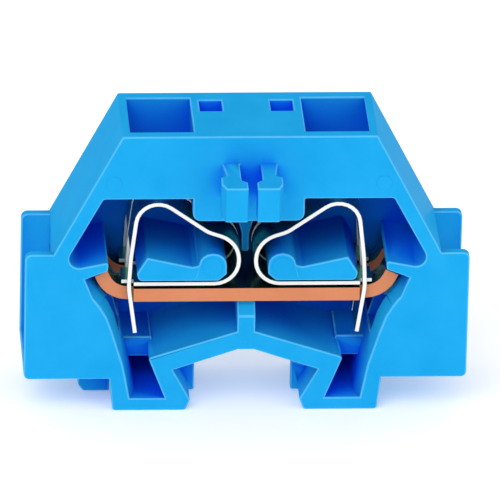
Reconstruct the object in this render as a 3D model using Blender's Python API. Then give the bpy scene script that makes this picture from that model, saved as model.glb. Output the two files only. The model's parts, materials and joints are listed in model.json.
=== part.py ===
"""DIN rail terminal block with four cage clamp springs and one common current bar.

Frame: X runs along the conductors, Y through the block's depth with the open working side at -Y, Z up.
The origin is in the middle of the box around body and pegs, on the plane of the rail feet's undersides.
Outlines are written in millimetres, with Y = 0 in the middle of the body, and turned into metres when a mesh
is made. The block is the same on both sides of X = 0, so outlines are given for the +X half: u is the
distance from the middle plane.
"""
import math

import bmesh
import bpy
from mathutils import Vector

MM = 0.001

# ---- driving dimensions, mm ----
DEPTH = 12.0              # the moulded body along Y
FRONT, REAR = -DEPTH / 2, DEPTH / 2
PLATE = 1.15              # the front plate and the lateral plates
REAR_WALL = 1.0
PEG_REACH = 6.6           # how far the snap pegs stand out of the front face
TOP = 33.5
TOP_HALF = 14.1           # half width of the flat top
SHOULDER = 19.2           # height where the slanted sides meet the lateral plates
SIDE = 21.5               # the body's side walls, behind the lateral plates
WIDTH_HALF = 24.7
CAVITY_TOP = 25.9
TONGUE_HALF = 6.2         # the block between the two screwdriver shafts
TONGUE_BOTTOM = 23.2
ROOF_SLOPE = 0.346        # the groove over the rail

BAR_Z = 13.95             # the current bar's middle plane
BAR_THICK = 1.6
BAR_TIP = (16.2, 16.3)
STRIP = 0.45              # spring steel
SPRING_WIDTH = 4.75
SPRING_FRONTS = {"front": -5.5, "rear": -0.05}
LEG_Z = BAR_Z + 1.4       # the base leg's middle plane
BASE_LEG_END = 13.95
PIVOT_U = 3.9             # where the base leg turns into the loop
PIVOT_Z = 14.3            # the flexing loop turns the clamp leg about a point just below the base leg
LOOP_U = 0.95             # the loop's innermost line
RAIL_STRIP = 0.45         # the clamp leg beside its window
WINDOW = (12.85, 19.4)    # the clamp leg's window, low and high edge
GAP = 0.3                 # between separate pieces
NOTCH_U = 12.6            # the bar and base leg are narrow beyond this, to go through the windows

BAR_REAR = REAR - REAR_WALL - GAP
SIDES = {"left": -1, "right": 1}
OVER = 0.4                # how far a cutter runs past the face that it opens
JOIN = 0.25               # how far a joined shape sinks into the body


# ---- materials ----
def material(name, colour, roughness, metallic):
    mat = bpy.data.materials.new(name)
    mat.use_nodes = True
    shader = mat.node_tree.nodes["Principled BSDF"]
    shader.inputs["Base Color"].default_value = (*colour, 1.0)
    shader.inputs["Roughness"].default_value = roughness
    shader.inputs["Metallic"].default_value = metallic
    mat.diffuse_color = (*colour, 1.0)
    return mat


# ---- outlines: lists of (u, z) or (u, z, corner radius) ----
def rounded(corners, closed=True):
    """Replace each corner that has a radius by an arc that touches both of its sides."""
    points = []
    count = len(corners)
    for i, corner in enumerate(corners):
        here = Vector(corner[:2])
        radius = corner[2] if len(corner) > 2 else 0.0
        if not radius or (not closed and i in (0, count - 1)):
            points.append(here)
            continue
        back = (Vector(corners[i - 1][:2]) - here).normalized()
        ahead = (Vector(corners[(i + 1) % count][:2]) - here).normalized()
        half = back.angle(ahead) / 2
        centre = here + (back + ahead).normalized() * radius / math.sin(half)
        start = here + back * radius / math.tan(half) - centre
        sweep = math.pi - 2 * half
        turn = 1 if start.y * back.x > start.x * back.y else -1
        steps = max(2, round(sweep / math.radians(22)), round(sweep * radius / 0.6))
        for k in range(steps + 1):
            a = turn * sweep * k / steps
            points.append(centre + Vector((start.x * math.cos(a) - start.y * math.sin(a),
                                           start.x * math.sin(a) + start.y * math.cos(a))))
    return points


def symmetric(half):
    """Close a +X half outline, listed from its top to its bottom, with its mirror image."""
    return rounded([*half, *((-c[0], *c[1:]) for c in reversed(half))])


def on_side(corners, side):
    return rounded([(side * c[0], *c[1:]) for c in corners])


def ribbon(corners, thickness):
    """The outline of a strip bent along a path of corners, the same thickness everywhere."""
    path = rounded(corners, closed=False)
    left, right = [], []
    for i, point in enumerate(path):
        before = (point - path[i - 1]).normalized() if i else None
        after = (path[i + 1] - point).normalized() if i < len(path) - 1 else None
        along = ((before or after) + (after or before)).normalized()
        across = Vector((-along.y, along.x)) * thickness / 2
        if before and after:
            across /= max(0.5, along.dot(before))
        left.append(point + across)
        right.append(point - across)
    return left + right[::-1]


# ---- solids ----
def prism(name, outline, low, high, along="Y"):
    """Extrude an outline. Along X its points are (y, z), along Y they are (x, z), along Z they are (x, y)."""
    place = {"X": lambda p: (low, p[0], p[1]), "Y": lambda p: (p[0], low, p[1]),
             "Z": lambda p: (p[0], p[1], low)}[along]
    step = [high - low if axis == along else 0.0 for axis in "XYZ"]
    bm = bmesh.new()
    face = bm.faces.new([bm.verts.new(place(p)) for p in outline])
    moved = bmesh.ops.extrude_face_region(bm, geom=[face])["geom"]
    bmesh.ops.translate(bm, vec=step, verts=[g for g in moved if isinstance(g, bmesh.types.BMVert)])
    return solid(name, bm)


def taper(name, near_outline, far_outline, near, far):
    """A solid between two outlines with as many points each, one at each depth."""
    bm = bmesh.new()
    near_ring = [bm.verts.new((x, near, z)) for x, z in near_outline]
    far_ring = [bm.verts.new((x, far, z)) for x, z in far_outline]
    bm.faces.new(near_ring)
    bm.faces.new(far_ring)
    sides = [bm.faces.new((near_ring[i - 1], near_ring[i], far_ring[i], far_ring[i - 1]))
             for i in range(len(near_ring))]
    bmesh.ops.triangulate(bm, faces=sides)
    return solid(name, bm)


def solid(name, bm):
    bmesh.ops.recalc_face_normals(bm, faces=bm.faces[:])
    bmesh.ops.scale(bm, vec=(MM, MM, MM), verts=bm.verts[:])
    mesh = bpy.data.meshes.new(name)
    bm.to_mesh(mesh)
    bm.free()
    obj = bpy.data.objects.new(name, mesh)
    bpy.context.scene.collection.objects.link(obj)
    return obj


def box(name, x, y, z):
    return prism(name, [(x[0], z[0]), (x[1], z[0]), (x[1], z[1]), (x[0], z[1])], *y)


def combine(target, tool, operation):
    """Cut a tool from the target or join it on, and hide the tool as a guide."""
    mod = target.modifiers.new(tool.name, "BOOLEAN")
    mod.operation = operation
    mod.solver = "EXACT"
    mod.object = tool
    tool.hide_render = True
    tool.display_type = "WIRE"


def cut(target, tool):
    combine(target, tool, "DIFFERENCE")


def join(target, tool):
    combine(target, tool, "UNION")


def finish(obj, mat):
    obj.data.materials.append(mat)
    obj.data.shade_smooth()
    obj.data.set_sharp_from_angle(angle=math.radians(35))


def set_origin(obj, point):
    """Put an object's origin on its joint's axis and leave its shape where it is."""
    offset = Vector(point) * MM
    for vertex in obj.data.vertices:
        vertex.co -= offset
    obj.location = offset


# ---- the housing ----
OUTLINE = [
    (TOP_HALF, TOP, 0.2),
    (TOP_HALF + (TOP - SHOULDER) * 0.521, SHOULDER),
    (WIDTH_HALF, SHOULDER, 0.7), (WIDTH_HALF, 3.9, 0.6),
    (15.2, 3.9), (14.75, 0.0, 0.4), (6.6, 0.0, 0.4), (6.1, 1.3, 0.3),
    (8.05, 4.95), (0.9, 4.95 + ROOF_SLOPE * 7.15),
]
FINGER = [(20.8, 17.1, 1.1), (15.45, 18.2, 0.25), (15.5, 17.15, 0.2), (18.05, 16.15, 0.3)]
SLIT_AND_ROOF = [(8.95, 1.47), (10.85, 6.4, 0.3), (10.2, 6.65), (1.0, 9.65), (1.0, 12.85)]
CAVITY = [
    (TONGUE_HALF, TONGUE_BOTTOM, 0.9), (TONGUE_HALF, CAVITY_TOP), (16.1, CAVITY_TOP, 0.4),
    *FINGER, (15.2, 12.8, 1.0), (14.6, 11.3), (13.95, 9.0), (13.0, 5.4), (12.25, 1.47), *SLIT_AND_ROOF,
]
# The cavity's outer wall leans back from the front face, so that the sides of a fitted wire and spring are in view.
LEAN_FRONT = [(18.05, 16.15), (17.0, 13.5), (16.35, 12.6), (15.6, 11.3), (14.8, 9.0), (13.7, 5.4), (12.95, 1.47),
              (11.6, 1.47), (11.6, 10.0), (14.0, 14.5), (15.8, 16.4)]
LEAN_BACK = [(18.05, 16.15), (15.6, 13.25), (15.2, 12.6), (14.6, 11.3), (13.95, 9.0), (13.0, 5.4), (12.25, 1.47),
             (11.6, 1.47), (11.6, 10.0), (14.0, 14.5), (15.8, 16.4)]
LEAN_DEPTH = 2.2
SLIT_WEB = [(9.9, 4.6), (13.8, 4.6), (13.8, 7.0), (10.3, 7.0)]
SHAFT = [(TONGUE_HALF, TOP + OVER), (13.2, TOP + OVER), (13.2, TOP), (16.3, 26.9), (16.3, CAVITY_TOP - OVER),
         (TONGUE_HALF, CAVITY_TOP - OVER)]
SHAFT_Y = (-4.55, 4.45)
WIRE_CHANNEL = [(12.4, 8.8), (22.0, 8.8), (22.0, 16.2, 0.6), (18.5, 14.0, 1.0), (16.2, 13.05), (14.6, 13.0)]
CHANNEL_WIDTH = 4.1
CHANNEL_FRONTS = (-4.0, 0.65)
POCKET_FLOOR = 5.1
POST = [(11.15, 18.75, 0.2), (12.3, 16.8, 0.4), (12.05, 15.9, 0.5), (3.2, 15.9), (2.3, 16.7, 0.3),
        (2.3, 19.2, 1.45), (5.3, 19.2, 1.45), (5.4, 17.75, 0.3), (6.1, 17.6, 0.4)]
HANGING_RIB = [(1.0, 23.6), (1.0, 21.5), (0.42, 19.5), (0.42, 17.3, 0.2)]
PEG = [(1.15, FRONT + JOIN), (3.1, FRONT + JOIN), (2.75, -9.0), (3.4, -9.5, 0.15), (3.4, -11.3, 0.3),
       (2.95, FRONT - PEG_REACH, 0.2), (0.5, FRONT - PEG_REACH, 0.2), (0.5, -10.8, 0.3), (1.15, -10.2)]
PEG_Z = (26.1, 30.2)
LIP_WEB = [(5.4, 0.15, 0.2), (5.4, 3.7), (7.6, 3.0), (7.6, 0.15)]
LIP_WEB_Y = (-1.1, -0.1)
RELEASE_TAB = [(-14.9, 4.2), (-14.9, 0.1), (-17.8, 0.1), (-18.4, 0.9), (-18.4, 4.2)]


def make_housing(mat):
    body = prism("housing", symmetric(OUTLINE), FRONT, REAR)
    cut(body, prism("cavity", symmetric(CAVITY), FRONT - OVER, REAR - REAR_WALL))
    for word, side in SIDES.items():
        lean = on_side(LEAN_FRONT, side), on_side(LEAN_BACK, side)
        cut(body, taper("leaning_wall_" + word, *lean, FRONT - OVER / 2, FRONT + LEAN_DEPTH))
        pocket_x = sorted((side * SIDE, side * (WIDTH_HALF + OVER)))
        cut(body, box("pocket_" + word, pocket_x, (FRONT + PLATE, REAR - PLATE), (POCKET_FLOOR, SHOULDER + OVER)))
        cut(body, prism("shaft_" + word, on_side(SHAFT, side), *SHAFT_Y))
        for front in CHANNEL_FRONTS:
            channel = on_side(WIRE_CHANNEL, side)
            cut(body, prism("wire_channel_" + word, channel, front, front + CHANNEL_WIDTH))
        cut(body, box("top_slot_" + word, sorted((side * 2.7, side * 5.2)), (1.0, 3.9), (TOP - 2.0, TOP + OVER)))
        join(body, prism("post_" + word, on_side(POST, side), FRONT, REAR - JOIN))
        join(body, prism("slit_web_" + word, on_side(SLIT_WEB, side), -1.5, REAR - JOIN))
        join(body, prism("peg_" + word, on_side(PEG, side), *PEG_Z, along="Z"))
        join(body, prism("lip_web_" + word, on_side(LIP_WEB, side), *LIP_WEB_Y))
    join(body, prism("release_tab", rounded(RELEASE_TAB), *LIP_WEB_Y))
    join(body, prism("hanging_rib", symmetric(HANGING_RIB), -1.2, REAR - JOIN))
    # The sockets behind take the next block's pegs: a narrow mouth, then a wider chamber for the barbs.
    cut(body, box("socket_mouth", (-3.15, 3.15), (2.4, REAR + OVER), (25.8, 30.5)))
    cut(body, box("socket_chamber", (-3.7, 3.7), (-1.0, 2.7), (25.8, 30.5)))
    # The pillar's front edge is cut back under the current bar.
    bevel_outline = [(FRONT - OVER, 11.2), (FRONT + 1.8, 13.2), (FRONT - OVER, 13.2)]
    cut(body, prism("pillar_bevel", bevel_outline, -1.2, 1.2, along="X"))
    finish(body, mat)


# ---- the current bar ----
def half_bar_path(side):
    return [(side * 15.1, BAR_Z, 2.9), (side * BAR_TIP[0], BAR_TIP[1])]


def make_current_bar(mat):
    left_tip, right_tip = half_bar_path(-1)[::-1], half_bar_path(1)
    bar = prism("current_bar", ribbon([*left_tip, *right_tip], BAR_THICK), SPRING_FRONTS["front"] + 0.05, BAR_REAR)
    # Beyond the clamp legs the bar is a separate narrow tongue for each spring.
    front_tongue, rear_tongue = (tongue_y(front) for front in SPRING_FRONTS.values())
    beside_tongues = [(FRONT - OVER, front_tongue[0]), (front_tongue[1], rear_tongue[0]), (rear_tongue[1], REAR)]
    for side in SIDES.values():
        for span in beside_tongues:
            cut(bar, box("bar_notch", sorted((side * NOTCH_U, side * 18.0)), span, (12.0, 19.0)))
    finish(bar, mat)


def tongue_y(spring_front):
    inset = RAIL_STRIP + GAP
    return spring_front + inset, spring_front + SPRING_WIDTH - inset


# ---- the springs ----
BASE_PATH = [(BASE_LEG_END, LEG_Z), (PIVOT_U + GAP / 2, LEG_Z)]
CLAMP_PATH = [
    (PIVOT_U - GAP / 2, LEG_Z), (LOOP_U, LEG_Z, 2.7), (LOOP_U, 20.45, 3.0),   # the loop
    (4.4, 21.62, 3.0), (11.95, 27.0, 2.45),                                   # the flank and the arch
    (12.95, 18.5, 12.0), (13.14, 14.9, 8.0), (12.36, 9.35),                   # the clamp leg
]


def make_spring(word, side, place, front, mat):
    back = front + SPRING_WIDTH
    base_outline = ribbon([(side * u, z) for u, z in BASE_PATH], STRIP)
    base = prism(f"spring_base_{word}_{place}", base_outline, front, back)
    for span in ((front - OVER, tongue_y(front)[0]), (tongue_y(front)[1], back + OVER)):
        cut(base, box("base_notch", sorted((side * NOTCH_U, side * 15.0)), span, (LEG_Z - 1, LEG_Z + 1)))
    finish(base, mat)

    clamp_corners = [(side * c[0], *c[1:]) for c in CLAMP_PATH]
    clamp = prism(f"spring_clamp_{word}_{place}", ribbon(clamp_corners, STRIP), front, back)
    window = box("window", sorted((side * 12.0, side * 14.2)), (front + RAIL_STRIP, back - RAIL_STRIP), WINDOW)
    cut(clamp, window)
    set_origin(clamp, (side * PIVOT_U, (front + back) / 2, PIVOT_Z))
    window.parent = clamp
    window.matrix_parent_inverse.translation = -clamp.location
    finish(clamp, mat)


def main():
    for obj in list(bpy.data.objects):
        bpy.data.objects.remove(obj, do_unlink=True)
    make_housing(material("blue_polyamide", (0.01, 0.32, 0.85), 0.35, 0.0))
    make_current_bar(material("tinned_copper", (0.78, 0.32, 0.13), 0.3, 1.0))
    for word, side in SIDES.items():
        for place, front in SPRING_FRONTS.items():
            steel = material(f"spring_steel_{word}_{place}", (0.55, 0.57, 0.58), 0.25, 1.0)
            make_spring(word, side, place, front, steel)
    # The pegs stand out at the front only, so the middle of the whole block is in front of the body's middle.
    for obj in bpy.data.objects:
        if obj.parent is None:
            obj.location.y += PEG_REACH / 2 * MM


main()
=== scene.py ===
# %% [markdown]
# # A rail terminal block with cage clamp springs
# A terminal block joins wires inside a switch cabinet. This one is a single blue moulding, open on one side. In it
# lie one copper bar and four bent springs, and nothing else: no screw and no cover. The CAD model holds the
# sizes, so this script only gives the parts their finished edges, surfaces and light.

# %% Load the CAD frame
import json
import math

import bmesh
import bpy
from mathutils import Matrix, Vector
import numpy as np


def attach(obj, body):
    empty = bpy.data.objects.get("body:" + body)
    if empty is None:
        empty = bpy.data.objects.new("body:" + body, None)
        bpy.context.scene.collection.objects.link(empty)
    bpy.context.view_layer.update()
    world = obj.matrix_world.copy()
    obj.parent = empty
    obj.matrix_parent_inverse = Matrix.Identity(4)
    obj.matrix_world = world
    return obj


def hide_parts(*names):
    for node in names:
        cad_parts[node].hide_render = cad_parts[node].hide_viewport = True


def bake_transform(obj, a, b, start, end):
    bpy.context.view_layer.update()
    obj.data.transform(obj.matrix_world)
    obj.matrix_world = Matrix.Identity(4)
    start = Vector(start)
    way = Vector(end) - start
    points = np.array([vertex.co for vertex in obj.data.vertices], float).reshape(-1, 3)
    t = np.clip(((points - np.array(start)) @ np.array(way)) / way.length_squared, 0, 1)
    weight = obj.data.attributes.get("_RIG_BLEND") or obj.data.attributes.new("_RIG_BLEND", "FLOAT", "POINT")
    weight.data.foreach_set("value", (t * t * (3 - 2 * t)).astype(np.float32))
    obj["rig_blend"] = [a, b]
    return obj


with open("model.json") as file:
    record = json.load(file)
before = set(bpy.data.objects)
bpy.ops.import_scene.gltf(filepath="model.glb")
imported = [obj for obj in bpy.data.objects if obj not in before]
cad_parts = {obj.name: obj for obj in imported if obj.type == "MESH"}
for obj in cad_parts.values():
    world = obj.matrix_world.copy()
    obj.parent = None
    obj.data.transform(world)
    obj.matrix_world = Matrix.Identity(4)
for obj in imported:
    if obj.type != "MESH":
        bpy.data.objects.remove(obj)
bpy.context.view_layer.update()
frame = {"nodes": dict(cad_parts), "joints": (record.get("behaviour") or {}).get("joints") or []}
joints = {joint["name"]: joint for joint in frame["joints"]}
MM = 0.001

# %% [markdown]
# ## The light
# A small glossy part needs large, soft lights, because it mirrors them. A pale world gives even light from all
# round, so a hole in the part goes dark by itself: less of the world reaches its bottom. Two panels add the
# direction. The Standard view keeps a saturated plastic saturated, where a film-like view would fade it.

# %% Stage, light and colour view
WHITE = (1.0, 1.0, 1.0, 1.0)
WORLD_STRENGTH = 0.80
PANEL_SIDE = 0.8
FLOOR_SIDE = 6.0
FLOOR_COLOUR = (0.93, 0.925, 0.93, 1.0)
FLOOR_ROUGHNESS = 0.9
FLOOR_GLOW = 0.22          # lifts the floor to white, so that the panels need not

world = bpy.data.worlds.new("studio")
world.use_nodes = True
background = world.node_tree.nodes["Background"]
background.inputs["Color"].default_value = WHITE
background.inputs["Strength"].default_value = WORLD_STRENGTH
bpy.context.scene.world = world
bpy.context.scene.view_settings.view_transform = "Standard"


def panel(name, place, power):
    """A square softbox that faces the block."""
    light = bpy.data.lights.new(name, "AREA")
    light.shape = "SQUARE"
    light.size = PANEL_SIDE
    light.energy = power
    lamp = bpy.data.objects.new(name, light)
    lamp.location = place
    lamp.rotation_euler = (-Vector(place)).to_track_quat("-Z", "Y").to_euler()
    bpy.context.scene.collection.objects.link(lamp)


panel("key_panel", (-0.45, -0.75, 0.85), 4.6)
panel("fill_panel", (0.8, -0.7, 0.5), 2.2)

bm = bmesh.new()
bmesh.ops.create_grid(bm, x_segments=1, y_segments=1, size=FLOOR_SIDE / 2)
floor_mesh = bpy.data.meshes.new("floor")
bm.to_mesh(floor_mesh)
bm.free()
floor = bpy.data.objects.new("floor", floor_mesh)
bpy.context.scene.collection.objects.link(floor)
floor_paint = bpy.data.materials.new("floor_paint")
floor_paint.use_nodes = True
floor_shader = floor_paint.node_tree.nodes["Principled BSDF"]
floor_shader.inputs["Base Color"].default_value = FLOOR_COLOUR
floor_shader.inputs["Roughness"].default_value = FLOOR_ROUGHNESS
floor_shader.inputs["Emission Color"].default_value = WHITE
floor_shader.inputs["Emission Strength"].default_value = FLOOR_GLOW
floor_mesh.materials.append(floor_paint)

# %% [markdown]
# ## The camera
# A long lens far away keeps the edges that run through the block almost parallel. It looks down by a little more
# than a quarter of a right angle and a little from the left, with a slight roll.

# %% Camera
LENS, SENSOR_WIDTH = 833.9, 36.0     # both in mm
FAR_ENOUGH = 20.0                    # nothing beyond this distance is seen
CAMERA_PLACE = (-0.07948, -1.16278, 0.56390)
HEADING, DOWN, ROLL = math.radians(3.93), math.radians(25.08), math.radians(1.31)

camera_data = bpy.data.cameras.new("camera")
camera_data.lens = LENS
camera_data.sensor_width = SENSOR_WIDTH
camera_data.clip_end = FAR_ENOUGH
camera = bpy.data.objects.new("camera", camera_data)
level_turn = Matrix.Rotation(-HEADING, 4, "Z") @ Matrix.Rotation(math.pi / 2 - DOWN, 4, "X")
turn = level_turn @ Matrix.Rotation(ROLL, 4, "Z")
camera.matrix_world = Matrix.Translation(CAMERA_PLACE) @ turn
bpy.context.scene.collection.objects.link(camera)
bpy.context.scene.camera = camera

# %% [markdown]
# ## Helpers
# A CAD mesh is loose triangles. Merging their corners and dissolving the flat joints between them gives back the
# clean faces, which can then be bevelled. Each new bevel face is written into a face attribute, so that a
# material can paint a colour onto the edges: a painted highlight on the moulding, bare worn metal on the metals.

# %% Copy CAD solids, round their edges, and finish a piece
EDGE = "edge_band"
CUT = "cut_face"
MERGE_WITHIN = 1e-6                  # metres
FLAT_JOINT = math.radians(0.5)       # faces that meet at less than this become one face
BEVEL_ABOVE = math.radians(30)       # only edges that turn by more than this are rounded
BEVEL_SEGMENTS = 2
SHADED_SHARP = math.radians(50)      # edges that turn by more than this stay sharp in the shading
STRONGEST_WEIGHT = 100               # the big faces alone decide how a bevel is shaded


def cad_copy(*nodes):
    """One bmesh of clean faces from the loose triangles of some CAD nodes."""
    bm = bmesh.new()
    for node in nodes:
        bm.from_mesh(frame["nodes"][node].data)
    bmesh.ops.remove_doubles(bm, verts=bm.verts[:], dist=MERGE_WITHIN)
    bmesh.ops.dissolve_limit(bm, angle_limit=FLAT_JOINT, verts=bm.verts[:], edges=bm.edges[:])
    bm.faces.layers.float.new(EDGE)
    bm.faces.layers.float.new(CUT)
    return bm


def round_edges(bm, width):
    """Bevel the outer edges of a mesh and mark the bevel faces as its edge band."""
    sharp = [e for e in bm.edges if e.is_manifold and e.is_convex and e.calc_face_angle() > BEVEL_ABOVE]
    made = bmesh.ops.bevel(bm, geom=sharp, offset=width, offset_type="OFFSET", segments=BEVEL_SEGMENTS, profile=0.5,
                           affect="EDGES", clamp_overlap=False, loop_slide=True, material=-1)
    band = bm.faces.layers.float[EDGE]
    for face in made["faces"]:
        face[band] = 1.0


def mark_cut_faces(bm):
    """A part punched from strip shows bare metal on the faces that look along Y."""
    cut = bm.faces.layers.float[CUT]
    bm.normal_update()
    for face in bm.faces:
        if abs(face.normal.y) > 0.7:
            face[cut] = 1.0


def piece(bm, name, material, body, replaced=()):
    """Turn a bmesh into a finished piece that rides on a body and stands for CAD nodes."""
    mesh = bpy.data.meshes.new(name)
    bm.to_mesh(mesh)
    bm.free()
    mesh.materials.append(material)
    mesh.shade_smooth()
    mesh.set_sharp_from_angle(angle=SHADED_SHARP)
    obj = bpy.data.objects.new(name, mesh)
    bpy.context.scene.collection.objects.link(obj)
    weighted = obj.modifiers.new("weighted_normals", "WEIGHTED_NORMAL")
    weighted.keep_sharp = True
    weighted.weight = STRONGEST_WEIGHT
    if body:
        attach(obj, body)
    if replaced:
        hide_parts(*replaced)
    print(name, len(mesh.polygons), "faces")
    return obj


# %% [markdown]
# ## Shader node groups
# Two effects come up in more than one material. Fine grain is the texture of a mould or of rolled metal: noise
# that is stretched along a direction, given out as a height for a bump and as a mask for roughness. The edge mix
# puts a second colour in where a mask says so, broken up by noise so that no edge looks drawn with a ruler. On the
# metals this is wear that bares the metal; on the moulding it is a painted highlight, a paler blue along the edges.

# %% Node groups
FINE_GRAIN, COARSE_GRAIN, PATCHES, EDGE_BREAKUP = 4200.0, 1300.0, 260.0, 900.0     # noise scales, per metre
COARSE_SHARE = 0.6                   # how high the coarse grain stands beside the fine grain
# The edge mix is wear on the metals and a painted highlight on the moulding.
EDGE_BREAKUP_LEAST, EDGE_BREAKUP_MORE = 0.65, 0.7    # what is left of the wear where its noise is 0, and what its noise adds


def new_group(name, inputs, outputs):
    """A shader node group, with its input and output nodes."""
    group = bpy.data.node_groups.new(name, "ShaderNodeTree")
    for label, kind, default in inputs:
        socket = group.interface.new_socket(label, in_out="INPUT", socket_type=kind)
        socket.default_value = default
    for label, kind in outputs:
        group.interface.new_socket(label, in_out="OUTPUT", socket_type=kind)
    return group, group.nodes.new("NodeGroupInput"), group.nodes.new("NodeGroupOutput")


def add_math(tree, operation, *operands, clamp=False):
    """A Math node whose operands are sockets or plain numbers. It gives back its output."""
    node = tree.nodes.new("ShaderNodeMath")
    node.operation = operation
    node.use_clamp = clamp
    for socket, value in zip(node.inputs, operands):
        if isinstance(value, bpy.types.NodeSocket):
            tree.links.new(value, socket)
        else:
            socket.default_value = value
    return node.outputs[0]


def add_noise(tree, vector, scale, detail=3.0):
    """A noise between 0 and 1 over some coordinates."""
    node = tree.nodes.new("ShaderNodeTexNoise")
    node.inputs["Scale"].default_value = scale
    node.inputs["Detail"].default_value = detail
    tree.links.new(vector, node.inputs["Vector"])
    return node.outputs["Fac"]


def add_mix(tree, factor, a, b):
    """A mix of two colours, each a socket or three numbers."""
    node = tree.nodes.new("ShaderNodeMix")
    node.data_type = "RGBA"
    tree.links.new(factor, node.inputs["Factor"])
    for socket, value in ((node.inputs["A"], a), (node.inputs["B"], b)):
        if isinstance(value, bpy.types.NodeSocket):
            tree.links.new(value, socket)
        else:
            socket.default_value = (*value, 1.0)
    return node.outputs["Result"]


grain_group, given, result = new_group(
    "fine_grain", [("Stretch", "NodeSocketVector", (1.0, 1.0, 1.0))],
    [("Height", "NodeSocketFloat"), ("Patches", "NodeSocketFloat")])
place = grain_group.nodes.new("ShaderNodeTexCoord")
stretch = grain_group.nodes.new("ShaderNodeVectorMath")
stretch.operation = "MULTIPLY"
grain_group.links.new(place.outputs["Object"], stretch.inputs[0])
grain_group.links.new(given.outputs["Stretch"], stretch.inputs[1])
fine = add_noise(grain_group, stretch.outputs[0], FINE_GRAIN, 4.0)
coarse = add_noise(grain_group, stretch.outputs[0], COARSE_GRAIN, 2.0)
height = add_math(grain_group, "ADD", fine, add_math(grain_group, "MULTIPLY", coarse, COARSE_SHARE))
grain_group.links.new(height, result.inputs["Height"])
patches = add_noise(grain_group, place.outputs["Object"], PATCHES, 5.0)
grain_group.links.new(patches, result.inputs["Patches"])

# Mixes an edge colour in: bare worn metal on the metals, a painted highlight on the moulding.
edge_wear_and_highlight_group, given, result = new_group(
    "edge_wear_and_highlight", [("Surface", "NodeSocketColor", (0.5, 0.5, 0.5, 1)), ("Edge", "NodeSocketColor", (1, 1, 1, 1)),
                  ("Mask", "NodeSocketFloat", 0.0), ("Amount", "NodeSocketFloat", 0.6)],
    [("Color", "NodeSocketColor")])
place = edge_wear_and_highlight_group.nodes.new("ShaderNodeTexCoord")
edge_breakup_noise = add_noise(edge_wear_and_highlight_group, place.outputs["Object"], EDGE_BREAKUP)
broken = add_math(edge_wear_and_highlight_group, "MULTIPLY_ADD", edge_breakup_noise, EDGE_BREAKUP_MORE, EDGE_BREAKUP_LEAST)
amount = add_math(edge_wear_and_highlight_group, "MULTIPLY", given.outputs["Mask"], given.outputs["Amount"])
amount = add_math(edge_wear_and_highlight_group, "MULTIPLY", amount, broken, clamp=True)
wear_and_highlight_colour = add_mix(edge_wear_and_highlight_group, amount, given.outputs["Surface"], given.outputs["Edge"])
edge_wear_and_highlight_group.links.new(wear_and_highlight_colour, result.inputs["Color"])


def attribute(tree, name):
    """The value of a face attribute."""
    node = tree.nodes.new("ShaderNodeAttribute")
    node.attribute_name = name
    return node.outputs["Fac"]


def place_group(tree, group, **values):
    """Use a node group in a material, with sockets or plain values for its inputs."""
    node = tree.nodes.new("ShaderNodeGroup")
    node.node_tree = group
    for name, value in values.items():
        if isinstance(value, bpy.types.NodeSocket):
            tree.links.new(value, node.inputs[name])
        else:
            node.inputs[name].default_value = value
    return node


def add_bump(tree, shader, height_socket, distance, strength):
    """Let a height tilt the surface of a shader."""
    bump = tree.nodes.new("ShaderNodeBump")
    bump.inputs["Distance"].default_value = distance
    bump.inputs["Strength"].default_value = strength
    tree.links.new(height_socket, bump.inputs["Height"])
    tree.links.new(bump.outputs["Normal"], shader.inputs["Normal"])


def new_material(name):
    """A material, with its node tree and its main shader."""
    made = bpy.data.materials.new(name)
    made.use_nodes = True
    tree = made.node_tree
    return made, tree, tree.nodes["Principled BSDF"]


def add_range(tree, value, low, high):
    """Stretch a noise that mostly lies between 0.3 and 0.7 onto low to high."""
    node = tree.nodes.new("ShaderNodeMapRange")
    node.inputs["From Min"].default_value = 0.3
    node.inputs["From Max"].default_value = 0.7
    node.inputs["To Min"].default_value = low
    node.inputs["To Max"].default_value = high
    tree.links.new(value, node.inputs["Value"])
    return node.outputs["Result"]


# %% [markdown]
# ## Blue polyamide
# The moulding is polyamide, dyed through. Shade is painted into its colour: an occlusion mask mixes a deeper, less
# green blue into the nooks, where little light reaches. The mould's spark-eroded face leaves a fine grain, and
# flow leaves faint patches. A paler blue on the bevel faces is a painted highlight along the edges. The surface is
# almost without gloss.

# %% Blue polyamide
SHADE_REACH = 12 * MM                 # how far away a wall still shuts light out of a nook
FULL_SHADE_SKY_SHARE, NO_SHADE_SKY_SHARE = 0.20, 0.76  # the share of open sky at which a nook counts as closed, and as open
BLUE, PALER_BLUE = (0.010, 0.335, 0.710), (0.016, 0.365, 0.750)
# Painted shade: this deeper blue is mixed into the base colour wherever the occlusion mask finds a nook.
PAINTED_SHADE_BLUE = (0.0, 0.090, 0.86)
# Painted highlight: this paler blue is mixed onto the bevel faces along every edge.
PAINTED_HIGHLIGHT_BLUE = (0.10, 0.50, 0.88, 1.0)

polyamide, tree, shader = new_material("blue_polyamide")
grain = place_group(tree, grain_group, Stretch=(1.0, 1.0, 1.0))
patch_colour = add_mix(tree, add_range(tree, grain.outputs["Patches"], 0.0, 1.0), BLUE, PALER_BLUE)
# The occlusion mask that decides where shade is painted into the colour.
shade_occlusion = tree.nodes.new("ShaderNodeAmbientOcclusion")
shade_occlusion.inputs["Distance"].default_value = SHADE_REACH
shade_occlusion.samples = 8
shade_occlusion.only_local = True
unshaded_share = tree.nodes.new("ShaderNodeMapRange")
unshaded_share.inputs["From Min"].default_value = FULL_SHADE_SKY_SHARE
unshaded_share.inputs["From Max"].default_value = NO_SHADE_SKY_SHARE
tree.links.new(shade_occlusion.outputs["AO"], unshaded_share.inputs["Value"])
colour_with_painted_shade = add_mix(tree, unshaded_share.outputs["Result"], PAINTED_SHADE_BLUE, patch_colour)
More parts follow.
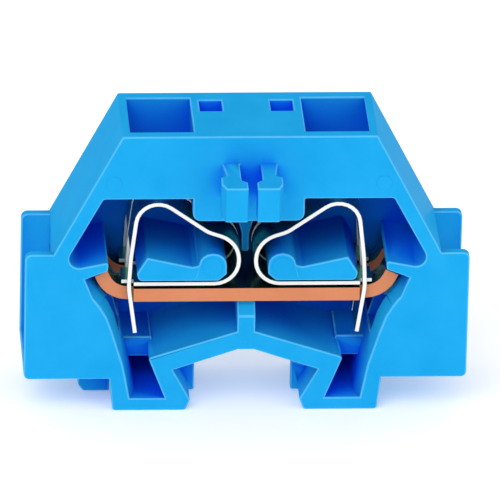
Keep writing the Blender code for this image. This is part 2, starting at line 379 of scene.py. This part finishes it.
# Paints a highlight onto the bevel faces along the moulding's edges.
wear_and_highlight = place_group(tree, edge_wear_and_highlight_group, Surface=colour_with_painted_shade, Edge=PAINTED_HIGHLIGHT_BLUE,
                   Mask=attribute(tree, EDGE), Amount=0.75)
tree.links.new(wear_and_highlight.outputs["Color"], shader.inputs["Base Color"])
tree.links.new(add_range(tree, grain.outputs["Patches"], 0.34, 0.46), shader.inputs["Roughness"])
shader.inputs["IOR"].default_value = 1.53
shader.inputs["Specular IOR Level"].default_value = 0.002
add_bump(tree, shader, grain.outputs["Height"], 0.02 * MM, 0.35)

# %% [markdown]
# ## Copper and spring steel
# Both metals are punched from rolled strip. The rolled faces keep their smooth finish, and the punch leaves the cut
# faces bare, orange on the bar and bright on the springs. The rolled colours are a painted reflection: much greener
# than tin and steel are, and not measured, standing in for the blue around the part that a polished strip mirrors;
# the green keeps it from turning blue.

# %% Metals
ROUGHNESS_SPREAD = 0.04


def strip_metal(name, rolled_painted_reflection, cut_dark, cut_light, rolled_rough, cut_rough, cut_metallic):
    """A rolled strip: one finish on its rolled faces, with a painted reflection in their colour, and another on the
    faces that the punch cut.
    """
    made, tree, shader = new_material(name)
    grain = place_group(tree, grain_group, Stretch=(0.05, 1.6, 0.05))
    punched = place_group(tree, grain_group, Stretch=(0.7, 0.05, 0.12))
    on_cut = attribute(tree, CUT)
    # The rolled colour is a painted reflection of the blue surroundings; the grain only varies its tone.
    rolled_reflection_tone = add_mix(tree, add_range(tree, grain.outputs["Height"], 0.0, 1.0),
                           rolled_painted_reflection, tuple(0.8 * value for value in rolled_painted_reflection))
    cut_shade = add_mix(tree, add_range(tree, punched.outputs["Patches"], 0.0, 1.0), cut_dark, cut_light)
    colour = add_mix(tree, on_cut, rolled_reflection_tone, cut_shade)
    wear_and_highlight = place_group(tree, edge_wear_and_highlight_group, Surface=colour, Edge=(*cut_light, 1.0),
                       Mask=attribute(tree, EDGE), Amount=0.5)
    tree.links.new(wear_and_highlight.outputs["Color"], shader.inputs["Base Color"])
    rougher = add_math(tree, "MULTIPLY", on_cut, cut_rough - rolled_rough)
    rolled_patches = add_range(tree, grain.outputs["Patches"],
                               rolled_rough - ROUGHNESS_SPREAD, rolled_rough + ROUGHNESS_SPREAD)
    tree.links.new(add_math(tree, "ADD", rougher, rolled_patches), shader.inputs["Roughness"])
    metal = add_math(tree, "MULTIPLY", on_cut, cut_metallic - 1.0)
    tree.links.new(add_math(tree, "ADD", metal, 1.0), shader.inputs["Metallic"])
    add_bump(tree, shader, grain.outputs["Height"], 0.01 * MM, 0.3)
    return made


# The rolled colours given here are painted reflections, not the metals' own colours.
copper = strip_metal("tinned_copper", rolled_painted_reflection=(0.24, 0.55, 0.50), cut_dark=(0.60, 0.195, 0.075),
                     cut_light=(0.65, 0.225, 0.095), rolled_rough=0.24, cut_rough=0.5, cut_metallic=0.1)
steel = strip_metal("spring_steel", rolled_painted_reflection=(0.14, 0.62, 0.36), cut_dark=(0.78, 0.78, 0.75),
                    cut_light=(0.86, 0.85, 0.81), rolled_rough=0.26, cut_rough=0.45, cut_metallic=0.15)

# %% [markdown]
# ## The housing
# Every edge of a moulding is a little round, because the mould's own corners are. A narrow bevel gives each one
# the thin bright line that makes plastic look moulded, and the paler blue painted on the bevel faces adds a
# painted highlight to it.

# %% Housing
HOUSING_BEVEL = 0.16 * MM
FRONT_FACE_Y = -2.7 * MM
MARKS = ((15.0, 27.8, 0.90), (3.9, 17.6, 1.15))     # x, z and radius in mm, on both sides
MARK_HEIGHT = 0.04 * MM


def ejector_mark(bm, x, z, radius):
    """The round mark of a mould's ejector pin, a few hundredths of a millimetre proud of the front face."""
    place = Matrix.Translation((x, FRONT_FACE_Y, z)) @ Matrix.Rotation(math.pi / 2, 4, "X")
    bmesh.ops.create_cone(bm, cap_ends=True, segments=40, radius1=radius, radius2=radius - MARK_HEIGHT,
                          depth=2 * MARK_HEIGHT, matrix=place)


housing_mesh = cad_copy("housing")
round_edges(housing_mesh, HOUSING_BEVEL)
for x, z, radius in MARKS:
    ejector_mark(housing_mesh, x * MM, z * MM, radius * MM)
    ejector_mark(housing_mesh, -x * MM, z * MM, radius * MM)
piece(housing_mesh, "moulded_housing", polyamide, "block", ["housing"])

# %% [markdown]
# ## The current bar
# The bar's punched edges are broken, not round, so its bevel is much narrower than the moulding's.

# %% Current bar
BAR_BEVEL = 0.06 * MM

bar_mesh = cad_copy("current_bar")
round_edges(bar_mesh, BAR_BEVEL)
mark_cut_faces(bar_mesh)
piece(bar_mesh, "bar_with_cut_edges", copper, "block", ["current_bar"])

# %% [markdown]
# ## The springs
# Each spring is one bent strip, but it moves: its base leg stays on the bar while the arch and the clamp leg
# swing. The CAD model has a small cut between the two, so here the cut's ends are bridged. Then the strip is
# parted on its flank, where both sides move as one. The part with the loop bends between the two bodies, and the
# part with the clamp leg rides on the moving one.

# %% Springs
SPRING_BEVEL = 0.05 * MM
CUT_BESIDE, CUT_ABOVE = 0.4 * MM, 2 * MM     # how far from the pivot the cut's end faces reach
FLANK_X = 6.5 * MM                   # the strip is parted here, as measured from the block's middle
FLANK_LOW = 20.0 * MM                # above the base leg and the loop
BASE_LEG_Z = 15.3 * MM
BEND_START, BEND_END = 15.7 * MM, 21.5 * MM


def bridge_cut(bm, pivot):
    """Join the two halves of a spring across the cut above its pivot."""
    ends = [f for f in bm.faces if abs(f.normal.x) > 0.9
            and all(abs(v.co.x - pivot.x) < CUT_BESIDE and 0 < v.co.z - pivot.z < CUT_ABOVE for v in f.verts)]
    rims = [e for f in ends for e in f.edges]
    bmesh.ops.delete(bm, geom=ends, context="FACES_ONLY")
    bmesh.ops.bridge_loops(bm, edges=rims)
    bmesh.ops.dissolve_limit(bm, angle_limit=FLAT_JOINT, verts=bm.verts[:], edges=bm.edges[:])


def part_on_flank(bm, plane_x, above_z):
    """Cut a strip across its flank, where it passes plane_x above a height, and cap both ends."""
    everything = bm.verts[:] + bm.edges[:] + bm.faces[:]
    made = bmesh.ops.bisect_plane(bm, geom=everything, dist=1e-7, plane_co=(plane_x, 0, 0), plane_no=(1, 0, 0))
    ring = [e for e in made["geom_cut"] if isinstance(e, bmesh.types.BMEdge)
            and all(v.co.z > above_z for v in e.verts)]
    bmesh.ops.split_edges(bm, edges=ring)
    bmesh.ops.holes_fill(bm, edges=[e for e in bm.edges if e.is_boundary], sides=0)


def take_half(bm, seed_z):
    """Keep only the connected half of a parted strip that holds the vertex nearest to a height."""
    kept, found = set(), [min(bm.verts, key=lambda v: abs(v.co.z - seed_z))]
    while found:
        vertex = found.pop()
        if vertex not in kept:
            kept.add(vertex)
            found.extend(e.other_vert(vertex) for e in vertex.link_edges)
    bmesh.ops.delete(bm, geom=[v for v in bm.verts if v not in kept], context="VERTS")


def spring_pieces(side_word, place_word):
    """The two pieces of one spring: a loop that bends between the bodies, and an arch that moves."""
    joint = joints[f"clamp_{side_word}_{place_word}_flex"]
    pivot = Vector(joint["pos_m"])
    nodes = [f"spring_base_{side_word}_{place_word}", f"spring_clamp_{side_word}_{place_word}"]
    whole = cad_copy(*nodes)
    bridge_cut(whole, pivot)
    round_edges(whole, SPRING_BEVEL)
    mark_cut_faces(whole)
    part_on_flank(whole, math.copysign(FLANK_X, pivot.x), FLANK_LOW)
    loop, arch = whole.copy(), whole
    take_half(loop, BASE_LEG_Z)
    take_half(arch, max(v.co.z for v in arch.verts))
    name = f"spring_{side_word}_{place_word}"
    bent = piece(loop, name + "_loop", steel, None, nodes)
    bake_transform(bent, "block", joint["child"], (pivot.x, pivot.y, BEND_START), (pivot.x, pivot.y, BEND_END))
    piece(arch, name + "_arch", steel, joint["child"], nodes[1:])


for side_word in ("left", "right"):
    for place_word in ("front", "rear"):
        spring_pieces(side_word, place_word)
